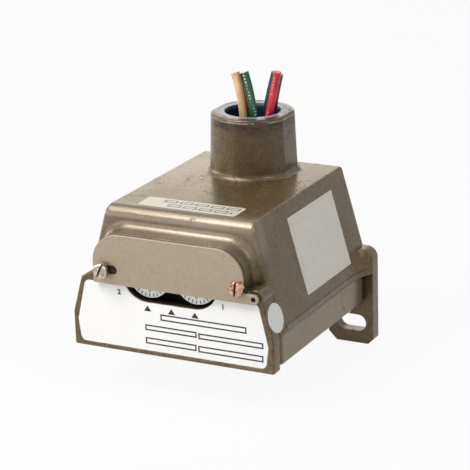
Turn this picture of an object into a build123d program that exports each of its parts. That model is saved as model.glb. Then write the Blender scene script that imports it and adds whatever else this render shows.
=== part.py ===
from build123d import *
import math
import os

# Diaphragm pressure switch with two independently adjustable switching points.
# X is the width, +X to the right seen from the front. +Y points into the wall or panel
# that the two ears are bolted to, and +Z points up. The origin lies on the mounting
# plane, midway between the two mounting slots. All lengths are in millimetres.

# Housing castings
housing_width = 76.2
top_width = 55.4
housing_depth = 78.5
slot_drop = 7.3
part_line_height = 12.1
cover_over_pad = 6.9
wall = 3.1
edge_round = 1.3
top_front_round = 4.0
lip_height = 1.8
cover_face_setback = 7.0
flange_thickness = 5.5
flange_shoulder_rise = 0.5
flange_crown_rise = 3.7
flange_crown_half = 29.3
flange_round = 0.8
flange_heel_round = 1.3

# Raised pad with the dial window, and the cover plate that slides over it
pad_half = 28.4
pad_height = 42.2
pad_corner = 10.0
pad_root = 2.8
pad_wall = 4.5
plate_height = 17.7
plate_inset = 0.1
plate_thickness = 1.1
gasket_thickness = 0.8
plate_travel = 3.5
left_screw_x = -24.1
right_screw_x = 26.3
plate_screw_rise = 5.1
plate_slot_width = 3.2
tab_hole_x = 32.0
tab_hole_dia = 1.8
tab_radius = 1.75
lug_radius = 2.7

# Dials and adjusting screws
dial_spacing = 17.8
dial_drop = 14.0
dial_radius = 8.0
dial_thickness = 1.4
dial_recess = 2.0
dial_boss_radius = 4.5
dial_boss_length = 2.5
window_clearance = 1.1
pocket_grow = 2.1
adjusting_shank_radius = 2.0
adjusting_thread_radius = 2.5
adjusting_thread_run = 8.0
adjusting_collar_radius = 4.0
adjusting_collar_length = 1.4
adjusting_tip_rise = 0.9
adjusting_slot = 0.8
running_clearance = 0.05

# Cover plate screws
cover_screw_radius = 1.45
cover_screw_head_radius = 2.7
cover_screw_head_height = 2.0
cover_screw_depth = 8.5
left_screw_proud = 1.3

# Rear ears with the mounting slots
ear_thickness = 4.6
ear_half_width = 41.5
ear_inner = 24.0
ear_drop = 14.9
ear_top_height = 21.0
ear_corner = 4.0
ear_chamfer = 2.0
ear_inner_chamfer = 3.2
slot_spacing = 65.8
slot_width = 6.2
slot_length = 11.6
lip_flare = 12.0
ear_top_flare = 5.0
lip_start_y = -67.8

# Conduit hub
hub_y = -14.0
hub_top_radius = 14.8
hub_foot_radius = 15.5
hub_height = 21.6
hub_foot_fillet = 2.2
hub_edge_round = 1.0
hub_bore_radius = 10.7
hub_bore_depth = 14.0
hub_throat_radius = 8.0
protector_lip_radius = 12.1
protector_lip = 1.0
protector_wall = 0.7
protector_depth = 12.0
fit_gap = 0.05
potting_depth = 4.0

# Base casting
base_lift = 1.4
base_floor = 3.0
base_wall = 3.2
base_rear_y = -5.4
base_corner = 2.0
base_rear_round = 1.0
base_low_round = 0.6
base_rim_chamfer = 0.3
base_screw_inset = 5.5
front_screw_inset = 10.0
base_screw_radius = 2.0
base_screw_head_radius = 2.9
base_screw_head_height = 2.0
base_screw_washer = 0.8
base_screw_washer_rim = 0.3
base_screw_clearance = 0.3
base_screw_turn = 35
base_screw_boss_radius = 4.6
base_screw_depth = 8.5
screw_end_gap = 1.0
seal_width = 1.6
seal_depth = 1.0
seal_corner = 3.0

# Pressure port, diaphragm and plunger
port_y = -34.0
port_flange_radius = 18.0
port_flange_height = 3.0
port_stem_radius = 10.0
port_bore_radius = 5.6
port_bore_depth = 12.0
port_passage_radius = 1.5
port_length = 13.0
port_hex_flat = 19.0
locknut_flat = 27.0
locknut_height = 5.0
chamber_radius = 11.0
chamber_depth = 0.8
diaphragm_thickness = 0.4
diaphragm_wave_radius = 0.85
clamp_ring_height = 2.5
clamp_ring_bore = 11.0
clamp_screw_count = 6
clamp_screw_circle = 14.6
clamp_screw_radius = 1.25
clamp_screw_head_radius = 2.2
clamp_screw_head_height = 1.4
clamp_hole_floor = 0.6
clamp_screw_end_gap = 0.2
plunger_radius = 9.0
plunger_disc_height = 1.2
plunger_stem_radius = 3.0
plunger_travel = 0.6
crossbar_radius = 1.5
contact_gap = 0.05

# Bell-crank levers
pivot_y = -44.0
pivot_z = 23.75
pivot_pin_radius = 1.5
pivot_pin_proud = 1.6
lever_side_gap = 0.1
lever_spacer_wall = 1.2
lever_hub_radius = 3.2
lever_width = 8.0
lever_thickness = 2.5
lever_tip_y = -27.0
lever_tip_radius = 1.5
lever_head = 5.2
spring_seat_radius = 4.2
spring_seat_height = 1.0
spring_spigot_radius = 2.5
spring_spigot_height = 1.2

# Range springs and their adjusting nuts
nut_front_y = -63.0
nut_length = 4.0
nut_height = 9.0
spring_radius = 3.6
spring_wire = 0.6
spring_turns = 5.5

# Bracket that carries the mechanism
bracket_half = 16.2
bracket_sheet = 2.0
bracket_gap = 0.5
bracket_head = 10.5
bracket_low_z = 21.0
bracket_front_lift = 6.0
bracket_rear_y = -4.4
foot_boss_height = 4.0
foot_boss_wall = 1.0
foot_reach = 9.5
foot_front = (-62.5, -52.5)
foot_rear = (-20.0, -10.6)
foot_screw_radius = 1.9
foot_screw_head_radius = 3.4
foot_screw_head_height = 2.2
foot_screw_clearance = 0.2
foot_screw_end_gap = 0.6

# Snap switches
switch_width = 10.2
switch_length = 27.0
switch_height = 15.9
switch_low_z = 28.5
switch_rear_y = -4.5
switch_edge = 0.6
button_width = 3.2
button_length = 2.4
button_stroke = 1.4
button_stem = 2.0
button_well_gap = 0.3
terminal_width = 4.8
terminal_thickness = 0.6
terminal_headroom = 3.9
terminal_margin = 4.0
terminal_pitch = 9.0
switch_screw_radius = 1.25
switch_screw_spacing = 22.2
switch_screw_rise = 8.0
switch_screw_head_radius = 2.4
switch_screw_head_height = 1.6
switch_screw_end_gap = 1.0

# Labels
label_recess = 0.4
label_rim = 1.9
label_round = 2.0
label_foot_inset = 1.0
label_kink_drop = 2.6
label_top_drop = 0.3
sticker_thickness = 0.15
top_label_size = (37.0, 9.4)
top_label_corner = 1.2
top_label_x = 0.4
top_label_y = -62.0
side_label_size = (35.6, 27.4)
side_label_y = -30.3
side_label_height = 31.0
round_sticker_radius = 5.0
round_sticker_y = -73.1
round_sticker_height = 18.2

# Leads
lead_radius = 1.35
lead_bend_drop = 10.0
lead_waist_rise = 4.0

# Heights and places that follow from the sizes above
bottom_z = slot_drop
part_z = bottom_z + part_line_height
pad_top_z = bottom_z + pad_height
top_z = pad_top_z + cover_over_pad
front_y = -housing_depth
cover_face_y = front_y + cover_face_setback
base_front_y = front_y + flange_thickness
side_slope = (housing_width - top_width) / 2 / (top_z - part_z)
dial_x = dial_spacing / 2
dial_z = pad_top_z - dial_drop
window_radius = dial_radius + window_clearance
plate_bottom_z = pad_top_z - plate_height
plate_screw_z = plate_bottom_z + plate_screw_rise
tab_z = plate_bottom_z + tab_radius
label_top_z = plate_bottom_z - label_top_drop
shoulder_z = plate_bottom_z + flange_shoulder_rise
crown_z = plate_bottom_z + flange_crown_rise
ear_low_z = bottom_z - ear_drop
ear_high_z = bottom_z + ear_top_height
base_bottom_z = bottom_z + base_lift
floor_z = base_bottom_z + base_floor
hub_top_z = top_z + hub_height
inner_front_y = cover_face_y + wall
inner_top_z = top_z - wall
terminal_height = inner_top_z - terminal_headroom - switch_low_z - switch_height
port_top_z = floor_z + port_flange_height
ring_z = port_top_z + diaphragm_thickness
ring_top_z = ring_z + clamp_ring_height
lever_under_z = pivot_z - lever_thickness / 2
crossbar_z = lever_under_z - contact_gap - crossbar_radius
bracket_front_y = inner_front_y + bracket_gap
plate_back_y = front_y - gasket_thickness
plate_front_y = plate_back_y - plate_thickness
foot_z = floor_z + foot_boss_height
lever_top_z = dial_z + lever_head
bracket_top_z = dial_z + bracket_head
potting_low_z = hub_top_z - hub_bore_depth - potting_depth


def front_plane(y):
    return Plane(origin=(0, y, 0), x_dir=(1, 0, 0), z_dir=(0, -1, 0))


def slab(sketch, y_near, y_far):
    # A front view outline carried from y_near back to y_far.
    return extrude(front_plane(y_far) * sketch, amount=y_far - y_near)


def half_width(z):
    # Outside half width of the tapered cover at height z.
    return housing_width / 2 - side_slope * max(z - part_z, 0)


def outline(*points):
    return make_face(Polyline(*points, close=True))


def mirrored(points):
    return list(points) + [(-x, z) for x, z in reversed(points)]


def block(x_low, x_high, y_low, y_high, z_low, z_high):
    size = Box(x_high - x_low, y_high - y_low, z_high - z_low)
    return Pos((x_low + x_high) / 2, (y_low + y_high) / 2, (z_low + z_high) / 2) * size


def upright(radius, z_low, z_high, x=0.0, y=0.0):
    return Pos(x, y, (z_low + z_high) / 2) * Cylinder(radius, z_high - z_low)


def along_y(radius, y_low, y_high, x=0.0, z=0.0):
    return Pos(x, (y_low + y_high) / 2, z) * Rot(90, 0, 0) * Cylinder(radius, y_high - y_low)


def along_x(radius, x_low, x_high, y=0.0, z=0.0):
    return Pos((x_low + x_high) / 2, y, z) * Rot(0, 90, 0) * Cylinder(radius, x_high - x_low)


def hexagon(flat, z_low, z_high, x=0.0, y=0.0):
    sketch = RegularPolygon(flat / 2, 6, major_radius=False)
    return extrude(Pos(x, y, z_low) * sketch, amount=z_high - z_low)


def pad_outline(half, top, bottom, corner):
    face = outline(*mirrored([(half, bottom), (half, top)]))
    return fillet(face.vertices().sort_by(Axis.Y)[-2:], corner)


def window_outline(grow=0.0):
    # Both dials with their clearance, as one long hole with round ends.
    stadium = SlotCenterToCenter(dial_spacing, 2 * (window_radius + grow))
    return Pos(0, dial_z) * stadium


# Cover casting
def cover_shell():
    side_view = outline(
        (cover_face_y, part_z), (0, part_z), (0, top_z), (cover_face_y, top_z)
    )
    front_corner = side_view.vertices().sort_by(Axis.X)[:2].sort_by(Axis.Y)[-1]
    side_view = fillet(front_corner, top_front_round)
    side_plane = Plane(origin=(-housing_width / 2, 0, 0), x_dir=(0, 1, 0), z_dir=(1, 0, 0))
    body = extrude(side_plane * side_view, amount=housing_width)
    taper = outline(*mirrored([(half_width(part_z), part_z), (half_width(top_z), top_z)]))
    body = body & slab(taper, cover_face_y, 0)
    edges = [
        e for e in body.edges()
        if abs(e.center().X) > top_width / 2 - 0.5
        and e.center().Z > part_z + 0.5
        and abs(e.center().Y) > 0.5
    ]
    return fillet(edges, edge_round)


def cover_pad(body):
    pad = slab(pad_outline(pad_half, pad_top_z, part_z, pad_corner), front_y, cover_face_y)
    body = body + pad
    root = [
        e for e in body.edges()
        if abs(e.center().Y - cover_face_y) < 0.01
        and e.bounding_box().size.Y < 0.01
        and abs(e.center().X) < pad_half + 0.1
        and part_z + 0.5 < e.center().Z < pad_top_z + 0.1
    ]
    return fillet(root, pad_root)


def cover_flange():
    low = outline(*mirrored([
        (half_width(part_z), bottom_z),
        (half_width(part_z), part_z),
        (half_width(shoulder_z), shoulder_z),
        (flange_crown_half, crown_z),
    ]))
    low = fillet(low.vertices().sort_by(Axis.Y)[:2], flange_round)
    front = slab(low, front_y, base_front_y)
    rim = [
        e for e in front.edges()
        if abs(e.center().Y - front_y) < 0.01 and e.center().Z < crown_z - 0.5
    ]
    front = fillet(rim, flange_round)
    heel = front.edges().filter_by(Axis.X).group_by(Axis.Z)[0].sort_by(Axis.Y)[-1]
    front = fillet(heel, flange_heel_round)
    upper = front_plane(cover_face_y) * low
    upper = extrude(upper, amount=cover_face_y - base_front_y)
    upper = upper & block(-housing_width, housing_width, front_y, 0, part_z, top_z)
    lug = along_y(lug_radius, front_y, cover_face_y + 1, tab_hole_x, tab_z)
    return front + upper + lug


def flared_outline(z, start_y, flare):
    # Plan of the cover at height z, its sides flaring out to the ears at the back.
    half = half_width(z)
    waist_y = -ear_thickness - flare
    with BuildSketch(Plane.XY.offset(z)) as plan:
        with BuildLine():
            Polyline((0, 0), (0, start_y), (half, start_y), (half, waist_y))
            TangentArc((half, waist_y), (ear_half_width, -ear_thickness), tangent=(0, 1))
            Polyline((ear_half_width, -ear_thickness), (ear_half_width, 0), (0, 0))
        make_face()
        mirror(about=Plane.YZ)
    return plan.sketch


def cover_lip():
    # Thin strip along the bottom edge that widens to the ears at the back.
    return extrude(flared_outline(part_z, lip_start_y, lip_flare), amount=lip_height)


def ear_webs():
    # The sides sweep out to the ears over their whole height above the lip.
    start_y = -ear_thickness - lip_flare - 1
    webs = loft([
        flared_outline(part_z, start_y, lip_flare),
        flared_outline(ear_high_z, start_y, ear_top_flare),
    ])
    return webs & slab(ear_outline() + mirror(ear_outline(), Plane.YZ), start_y - 1, 0)


def ear_outline():
    face = outline(
        (ear_inner, ear_low_z), (ear_half_width, ear_low_z),
        (ear_half_width, ear_high_z), (ear_inner, ear_high_z),
    )
    corners = face.vertices().sort_by(Axis.X)
    outer = corners[-2:].sort_by(Axis.Y)
    inner = corners[:2].sort_by(Axis.Y)
    face = chamfer(inner[0], ear_inner_chamfer)
    outer_low = face.vertices().sort_by(Axis.X)[-2:].sort_by(Axis.Y)[0]
    face = chamfer(outer_low, ear_chamfer)
    outer_high = face.vertices().sort_by(Axis.Y)[-2:].sort_by(Axis.X)[-1]
    return fillet(outer_high, ear_corner)


def ears():
    slot = Pos(slot_spacing / 2, 0) * SlotOverall(slot_length, slot_width)
    plate = slab(ear_outline() - slot, -ear_thickness, 0)
    return plate + mirror(plate, Plane.YZ)


def hub():
    foot = hub_foot_radius + hub_foot_fillet
    rise = top_z + hub_foot_fillet
    with BuildPart() as turned:
        with BuildSketch(Plane.XZ):
            with BuildLine():
                Line((0, top_z - 1), (foot, top_z - 1))
                Line((foot, top_z - 1), (foot, top_z))
                RadiusArc((foot, top_z), (hub_foot_radius, rise), hub_foot_fillet)
                Line((hub_foot_radius, rise), (hub_top_radius, hub_top_z - hub_edge_round))
                RadiusArc((hub_top_radius, hub_top_z - hub_edge_round),
                          (hub_top_radius - hub_edge_round, hub_top_z), -hub_edge_round)
                Line((hub_top_radius - hub_edge_round, hub_top_z), (0, hub_top_z))
                Line((0, hub_top_z), (0, top_z - 1))
            make_face()
        revolve(axis=Axis.Z)
    return Pos(0, hub_y, 0) * turned.part


def base_screw_places():
    front = (housing_width / 2 - front_screw_inset, base_front_y + base_screw_inset)
    rear = (housing_width / 2 - base_screw_inset, base_rear_y - base_screw_inset)
    return [(side * x, y) for side in (-1, 1) for x, y in (front, rear)]


def cover_cavity():
    def inside(z_low, z_high, y_back):
        points = [(half_width(z_low) - wall, z_low), (half_width(z_high) - wall, z_high)]
        return slab(outline(*mirrored(points)), inner_front_y, y_back)
    ledge_z = part_z + wall
    cavity = inside(part_z, inner_top_z, base_rear_y - wall)
    cavity += inside(ledge_z, inner_top_z, -wall)
    cavity += slab(window_outline(pocket_grow), front_y + pad_wall, inner_front_y + 1)
    return cavity


def make_cover():
    body = cover_pad(cover_shell())
    body += cover_flange()
    body += cover_lip()
    body += ear_webs()
    body += ears()
    body += hub()
    body -= block(-housing_width, housing_width, 0, housing_depth, ear_low_z - 1,
                  hub_top_z + 1)
    cavity = cover_cavity()
    for x, y in base_screw_places():
        cavity -= upright(base_screw_boss_radius, part_z, part_z + base_screw_depth + 2, x, y)
    body -= cavity
    body -= slab(window_outline(), front_y - 1, inner_front_y)
    body -= upright(protector_lip_radius + fit_gap, hub_top_z - protector_lip, hub_top_z + 1,
                    0, hub_y)
    body -= upright(hub_bore_radius, hub_top_z - hub_bore_depth, hub_top_z, 0, hub_y)
    body -= upright(hub_throat_radius, inner_top_z - 1, hub_top_z, 0, hub_y)
    for x, y in base_screw_places():
        body -= upright(base_screw_radius + fit_gap, part_z - 1, part_z + base_screw_depth, x, y)
    for x in (left_screw_x, right_screw_x):
        body -= along_y(cover_screw_radius + fit_gap, front_y - 1, front_y + cover_screw_depth,
                        x, plate_screw_z)
    body -= along_y(tab_hole_dia / 2, front_y - 1, cover_face_y + 2, tab_hole_x, tab_z)
    body -= slab(label_outline(fit_gap), front_y - 1, front_y + label_recess)
    return body


def label_outline(gap=0.0):
    half = housing_width / 2 - label_rim + gap
    low = bottom_z + label_rim - gap
    top = label_top_z + gap
    kink = part_z - label_kink_drop
    lean = half_width(top) - label_rim + gap
    face = outline(*mirrored([(half - label_foot_inset, low), (half, kink), (lean, top)]))
    return fillet(face.vertices(), label_round)


# Base casting
def base_bosses():
    places = []
    for side in (-1, 1):
        for low, high in (foot_front, foot_rear):
            places.append((side * (bracket_half + foot_reach / 2 + 0.5), (low + high) / 2))
    return places


def make_base():
    half = housing_width / 2
    box = block(-half, half, base_front_y, base_rear_y, base_bottom_z, part_z)
    corners = box.edges().filter_by(Axis.Z)
    box = fillet(corners.sort_by(Axis.Y)[:2], base_corner)
    box = fillet(box.edges().filter_by(Axis.Z).sort_by(Axis.Y)[-2:], base_rear_round)
    box = fillet(box.faces().sort_by(Axis.Z)[0].edges(), base_low_round)
    box = chamfer(box.faces().sort_by(Axis.Z)[-1].edges(), base_rim_chamfer)
    inside = block(-half + base_wall, half - base_wall, base_front_y + base_wall,
                   base_rear_y - base_wall, floor_z, part_z + 1)
    for x, y in base_screw_places():
        inside -= upright(base_screw_boss_radius, floor_z - 1, part_z + 2, x, y)
    for x, y in base_bosses():
        inside -= upright(foot_screw_head_radius + foot_boss_wall, floor_z - 1, foot_z, x, y)
    box -= inside
    for x, y in base_screw_places():
        hole_radius = base_screw_radius + base_screw_clearance
        box -= upright(hole_radius, base_bottom_z - 1, part_z + 1, x, y)
    for x, y in base_bosses():
        box -= upright(foot_screw_radius + fit_gap, floor_z, foot_z + 1, x, y)
    box -= upright(port_stem_radius + fit_gap, base_bottom_z - 1, floor_z + 1, 0, port_y)
    box -= seal_path(seal_width + 2 * fit_gap, part_z - seal_depth - fit_gap, part_z + 1)
    return box


def seal_path(width, z_low, z_high):
    # The seal runs round the rim of the base, inside the screws.
    half = housing_width / 2 - base_wall / 2
    ring_y = (base_front_y + base_wall / 2, base_rear_y - base_wall / 2)
    middle = (ring_y[0] + ring_y[1]) / 2
    span = ring_y[1] - ring_y[0]
    outer = RectangleRounded(2 * half + width, span + width, seal_corner + width / 2)
    inner = RectangleRounded(2 * half - width, span - width, seal_corner - width / 2)
    return extrude(Pos(0, middle, z_low) * (outer - inner), amount=z_high - z_low)


def make_base_seal():
    return seal_path(seal_width, part_z - seal_depth, part_z)


def slotted_head(radius, height, driver_width, driver_depth, crown):
    # A cheese head with a crowned top, standing on z = 0 and pointing up.
    head = Pos(0, 0, height / 2) * Cylinder(radius, height)
    head = fillet(head.faces().sort_by(Axis.Z)[-1].edges(), crown)
    return head - block(-radius, radius, -driver_width / 2, driver_width / 2,
                        height - driver_depth, height + 1)


def make_base_screws():
    screws = []
    washer_z = base_bottom_z - base_screw_washer
    for x, y in base_screw_places():
        tip_z = part_z + base_screw_depth - screw_end_gap
        shank = upright(base_screw_radius, washer_z, tip_z, x, y)
        washer_radius = base_screw_head_radius + base_screw_washer_rim
        washer = upright(washer_radius, washer_z, base_bottom_z, x, y)
        head = slotted_head(base_screw_head_radius, base_screw_head_height,
                            driver_width=1.0, driver_depth=1.0, crown=0.5)
        head = Pos(x, y, washer_z) * Rot(180, 0, base_screw_turn) * head
        screws.append(shank + washer + head)
    return Compound(children=screws)


# Cover plate, its gasket and its screws
def make_plate():
    # The slot at the left is closed. The notch at the right is open, above the seal tab.
    half = pad_half - plate_inset
    face = pad_outline(half, pad_top_z - plate_inset, plate_bottom_z, pad_corner)
    face += Pos(tab_hole_x, tab_z) * Circle(tab_radius)
    face += outline((right_screw_x, tab_z - tab_radius), (tab_hole_x, tab_z - tab_radius),
                    (tab_hole_x, tab_z + tab_radius), (right_screw_x, tab_z + tab_radius))
    face -= Pos(tab_hole_x, tab_z) * Circle(tab_hole_dia / 2)
    closed = Pos(left_screw_x + plate_travel / 2, plate_screw_z)
    face -= closed * SlotOverall(plate_slot_width + plate_travel, plate_slot_width)
    notch_length = 2 * (half + tab_radius - right_screw_x)
    notch = Pos(right_screw_x + notch_length / 2, plate_screw_z)
    face -= notch * SlotCenterToCenter(notch_length, plate_slot_width)
    return slab(face, plate_front_y, plate_back_y)


def make_plate_gasket():
    half = pad_half - 2 * plate_inset
    face = pad_outline(half, pad_top_z - 2 * plate_inset, plate_bottom_z + plate_inset,
                       pad_corner)
    face -= window_outline(plate_inset)
    for x in (left_screw_x, right_screw_x):
        face -= Pos(x, plate_screw_z) * Circle(cover_screw_radius + 2 * fit_gap)
    return slab(face, plate_back_y, front_y)


def make_cover_screws():
    screws = []
    for x, proud, turn in ((left_screw_x, left_screw_proud, 65), (right_screw_x, 0.0, 84)):
        seat = plate_front_y - proud
        tip_y = front_y + cover_screw_depth - screw_end_gap
        shank = along_y(cover_screw_radius, seat, tip_y, x, plate_screw_z)
        head = slotted_head(cover_screw_head_radius, cover_screw_head_height,
                            driver_width=0.8, driver_depth=1.1, crown=0.8)
        head = Pos(x, seat, plate_screw_z) * Rot(90, 0, 0) * Rot(0, 0, turn) * head
        screws.append(shank + head)
    return Compound(children=screws)


# Labels
def make_name_label():
    return slab(label_outline() - window_outline(plate_inset), front_y, front_y + label_recess)


def make_top_label():
    sketch = RectangleRounded(*top_label_size, top_label_corner)
    return extrude(Pos(top_label_x, top_label_y, top_z) * sketch, amount=sticker_thickness)


def side_plane(y, z):
    # Plane on the sloping right side, its first axis towards the back.
    tilt = math.atan(side_slope)
    normal = (math.cos(tilt), 0, math.sin(tilt))
    return Plane(origin=(half_width(z), y, z), x_dir=(0, 1, 0), z_dir=normal)


def make_side_label():
    plane = side_plane(side_label_y, bottom_z + side_label_height)
    return extrude(plane * Rectangle(*side_label_size), amount=sticker_thickness)


def make_round_sticker():
    plane = side_plane(round_sticker_y, bottom_z + round_sticker_height)
    return extrude(plane * Circle(round_sticker_radius), amount=sticker_thickness)


# Conduit hub fittings
def make_protector():
    lip = upright(protector_lip_radius, hub_top_z - protector_lip, hub_top_z, 0, hub_y)
    low_z = hub_top_z - protector_depth
    sleeve = upright(hub_bore_radius - fit_gap, low_z, hub_top_z, 0, hub_y)
    hole = upright(hub_bore_radius - protector_wall, low_z - 1, hub_top_z + 1, 0, hub_y)
    return lip + sleeve - hole


def make_potting():
    high_z = potting_low_z + potting_depth
    plug = upright(hub_throat_radius, potting_low_z, high_z, 0, hub_y)
    for path in lead_paths().values():
        x, y, z = path[0]
        plug -= upright(lead_radius, z - 1, high_z + 1, x, y)
    return plug


# Dials and adjusting screws
def make_dial(x):
    face_y = front_y + dial_recess
    dial = along_y(dial_radius, face_y, face_y + dial_thickness, x, dial_z)
    back = face_y + dial_thickness
    dial += along_y(dial_boss_radius, back, back + dial_boss_length, x, dial_z)
    dial -= along_y(adjusting_shank_radius, face_y - 1, back + dial_boss_length + 1, x, dial_z)
    return dial


def make_adjusting_screw(x):
    tip = front_y + dial_recess - adjusting_tip_rise
    collar_y = bracket_front_y + bracket_sheet + running_clearance
    thread_y = collar_y + adjusting_collar_length
    end_y = nut_front_y + nut_length + adjusting_thread_run
    screw = along_y(adjusting_shank_radius, tip, collar_y, x, dial_z)
    screw += along_y(adjusting_collar_radius, collar_y, thread_y, x, dial_z)
    screw += along_y(adjusting_thread_radius, thread_y, end_y, x, dial_z)
    reach = adjusting_shank_radius + 1
    return screw - block(x - reach, x + reach, tip - 1, tip + adjusting_slot,
                         dial_z - adjusting_slot / 2, dial_z + adjusting_slot / 2)


def make_nut(x):
    inner = bracket_half - bracket_sheet - 2 * running_clearance
    low, high = (2 * abs(x) - inner, inner)
    if x < 0:
        low, high = -high, -low
    nut = block(low, high, nut_front_y, nut_front_y + nut_length,
                dial_z - nut_height / 2, dial_z + nut_height / 2)
    return nut - along_y(adjusting_thread_radius + running_clearance, nut_front_y - 1,
                         nut_front_y + nut_length + 1, x, dial_z)


def make_spring(x):
    y_low = nut_front_y + nut_length
    y_high = pivot_y - lever_thickness / 2 - spring_seat_height
    free = y_high - y_low - spring_wire * 2
    helix = Helix(free / spring_turns, free, spring_radius)
    start = helix @ 0
    tangent = helix % 0
    profile = Plane(origin=start, z_dir=tangent) * Circle(spring_wire)
    coil = sweep(profile, path=helix)
    return Pos(x, y_low + spring_wire, dial_z) * Rot(-90, 0, 0) * coil


# Levers on their common pivot pin
def make_lever(x):
    half = lever_width / 2
    hub = along_x(lever_hub_radius, x - half, x + half, pivot_y, pivot_z)
    front = pivot_y - lever_thickness / 2
    back = pivot_y + lever_thickness / 2
    lever = hub + block(x - half, x + half, front, back, pivot_z, lever_top_z)
    lever += along_y(spring_seat_radius, front - spring_seat_height, front, x, dial_z)
    lever += along_y(spring_spigot_radius, front - spring_seat_height - spring_spigot_height,
                     front, x, dial_z)
    lever += block(x - half, x + half, pivot_y, lever_tip_y + lever_tip_radius, lever_under_z,
                   lever_under_z + lever_thickness)
    tip_z = switch_low_z - button_stroke - contact_gap - lever_tip_radius
    lever += block(x - half, x + half, lever_tip_y - lever_tip_radius,
                   lever_tip_y + lever_tip_radius, lever_under_z, tip_z)
    lever += along_x(lever_tip_radius, x - half, x + half, lever_tip_y, tip_z)
    bore = pivot_pin_radius + running_clearance
    return lever - along_x(bore, x - half - 1, x + half + 1, pivot_y, pivot_z)


def make_pivot_pin():
    reach = bracket_half + pivot_pin_proud
    return along_x(pivot_pin_radius, -reach, reach, pivot_y, pivot_z)


def make_lever_spacer():
    reach = dial_x - lever_width / 2 - lever_side_gap
    sleeve = along_x(pivot_pin_radius + lever_spacer_wall, -reach, reach, pivot_y, pivot_z)
    return sleeve - along_x(pivot_pin_radius, -reach - 1, reach + 1, pivot_y, pivot_z)


# Pressure port, diaphragm and plunger
def make_port():
    low = floor_z - base_floor - port_length
    hex_top = base_bottom_z - locknut_height
    port = upright(port_flange_radius, floor_z, port_top_z, 0, port_y)
    port += upright(port_stem_radius, hex_top, floor_z, 0, port_y)
    port += hexagon(port_hex_flat, low, hex_top, 0, port_y)
    port -= upright(port_bore_radius, low - 1, low + port_bore_depth, 0, port_y)
    port -= upright(port_passage_radius, low, port_top_z + 1, 0, port_y)
    port -= upright(chamber_radius, port_top_z - chamber_depth, port_top_z + 1, 0, port_y)
    for x, y in clamp_screw_places():
        port -= upright(clamp_screw_radius, floor_z + clamp_hole_floor, port_top_z + 1, x, y)
    return port


def clamp_screw_places():
    return [
        (
            clamp_screw_circle * math.cos(2 * math.pi * (i + 0.5) / clamp_screw_count),
            port_y + clamp_screw_circle * math.sin(2 * math.pi * (i + 0.5) / clamp_screw_count),
        )
        for i in range(clamp_screw_count)
    ]


def make_locknut():
    nut = hexagon(locknut_flat, base_bottom_z - locknut_height, base_bottom_z, 0, port_y)
    return nut - upright(port_stem_radius + fit_gap, base_bottom_z - locknut_height - 1,
                         base_bottom_z + 1, 0, port_y)


def make_diaphragm():
    # A thin disc clamped at its rim, with a raised wave between the plunger and the ring.
    disc = upright(port_flange_radius, port_top_z, ring_z, 0, port_y)
    wave_at = Pos(0, port_y, port_top_z)
    wave_circle = (plunger_radius + clamp_ring_bore) / 2
    wave = wave_at * Torus(wave_circle, diaphragm_wave_radius)
    disc += wave & upright(port_flange_radius, port_top_z, ring_top_z, 0, port_y)
    disc -= wave_at * Torus(wave_circle, diaphragm_wave_radius - diaphragm_thickness)
    for x, y in clamp_screw_places():
        disc -= upright(clamp_screw_radius, port_top_z - 1, ring_z + 1, x, y)
    return disc


def make_clamp_ring():
    ring = upright(port_flange_radius, ring_z, ring_top_z, 0, port_y)
    ring -= upright(clamp_ring_bore, ring_z - 1, ring_top_z + 1, 0, port_y)
    for x, y in clamp_screw_places():
        ring -= upright(clamp_screw_radius, ring_z - 1, ring_top_z + 1, x, y)
    return ring


def make_clamp_screws():
    screws = []
    tip_z = floor_z + clamp_hole_floor + clamp_screw_end_gap
    for x, y in clamp_screw_places():
        shank = upright(clamp_screw_radius, tip_z, ring_top_z, x, y)
        head = slotted_head(clamp_screw_head_radius, clamp_screw_head_height,
                            driver_width=0.6, driver_depth=0.7, crown=0.3)
        screws.append(shank + Pos(x, y, ring_top_z) * head)
    return Compound(children=screws)


def make_plunger():
    rest = ring_z + contact_gap
    plunger = upright(plunger_radius, rest, rest + plunger_disc_height, 0, port_y)
    plunger += upright(plunger_stem_radius, rest, crossbar_z, 0, port_y)
    reach = dial_x + lever_width / 2 - 0.5
    plunger += along_x(crossbar_radius, -reach, reach, port_y, crossbar_z)
    return plunger


# Bracket folded from one sheet, open below the diaphragm
def make_bracket():
    low, high = (bracket_low_z, bracket_top_z)
    inner = bracket_half - bracket_sheet
    front = block(-bracket_half, bracket_half, bracket_front_y, bracket_front_y + bracket_sheet,
                  foot_z + bracket_front_lift, high)
    bracket = front
    for side in (-1, 1):
        wall_x = (inner, bracket_half) if side > 0 else (-bracket_half, -inner)
        bracket += block(*wall_x, bracket_front_y, bracket_rear_y, low, high)
        for y_low, y_high in (foot_front, foot_rear):
            bracket += block(*wall_x, y_low, y_high, foot_z, low + 1)
            reach = bracket_half + foot_reach
            foot_x = (inner, reach) if side > 0 else (-reach, -inner)
            bracket += block(*foot_x, y_low, y_high, foot_z, foot_z + bracket_sheet)
    # The rear ends are cut short below, to clear the ledge of the cover.
    bracket -= block(-bracket_half - 1, bracket_half + 1, base_rear_y - wall - bracket_gap, 0,
                     bracket_low_z - 1, part_z + wall + bracket_gap)
    hole_radius = foot_screw_radius + foot_screw_clearance
    for x, y in base_bosses():
        bracket -= upright(hole_radius, foot_z - 1, foot_z + bracket_sheet + 1, x, y)
    for x in (-dial_x, dial_x):
        bracket -= along_y(adjusting_shank_radius + running_clearance, bracket_front_y - 1,
                           bracket_front_y + bracket_sheet + 1, x, dial_z)
    bracket -= along_x(pivot_pin_radius, -housing_width, housing_width, pivot_y, pivot_z)
    for y, z in switch_screw_places():
        bracket -= along_x(switch_screw_radius, -housing_width, housing_width, y, z)
    return bracket


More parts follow.
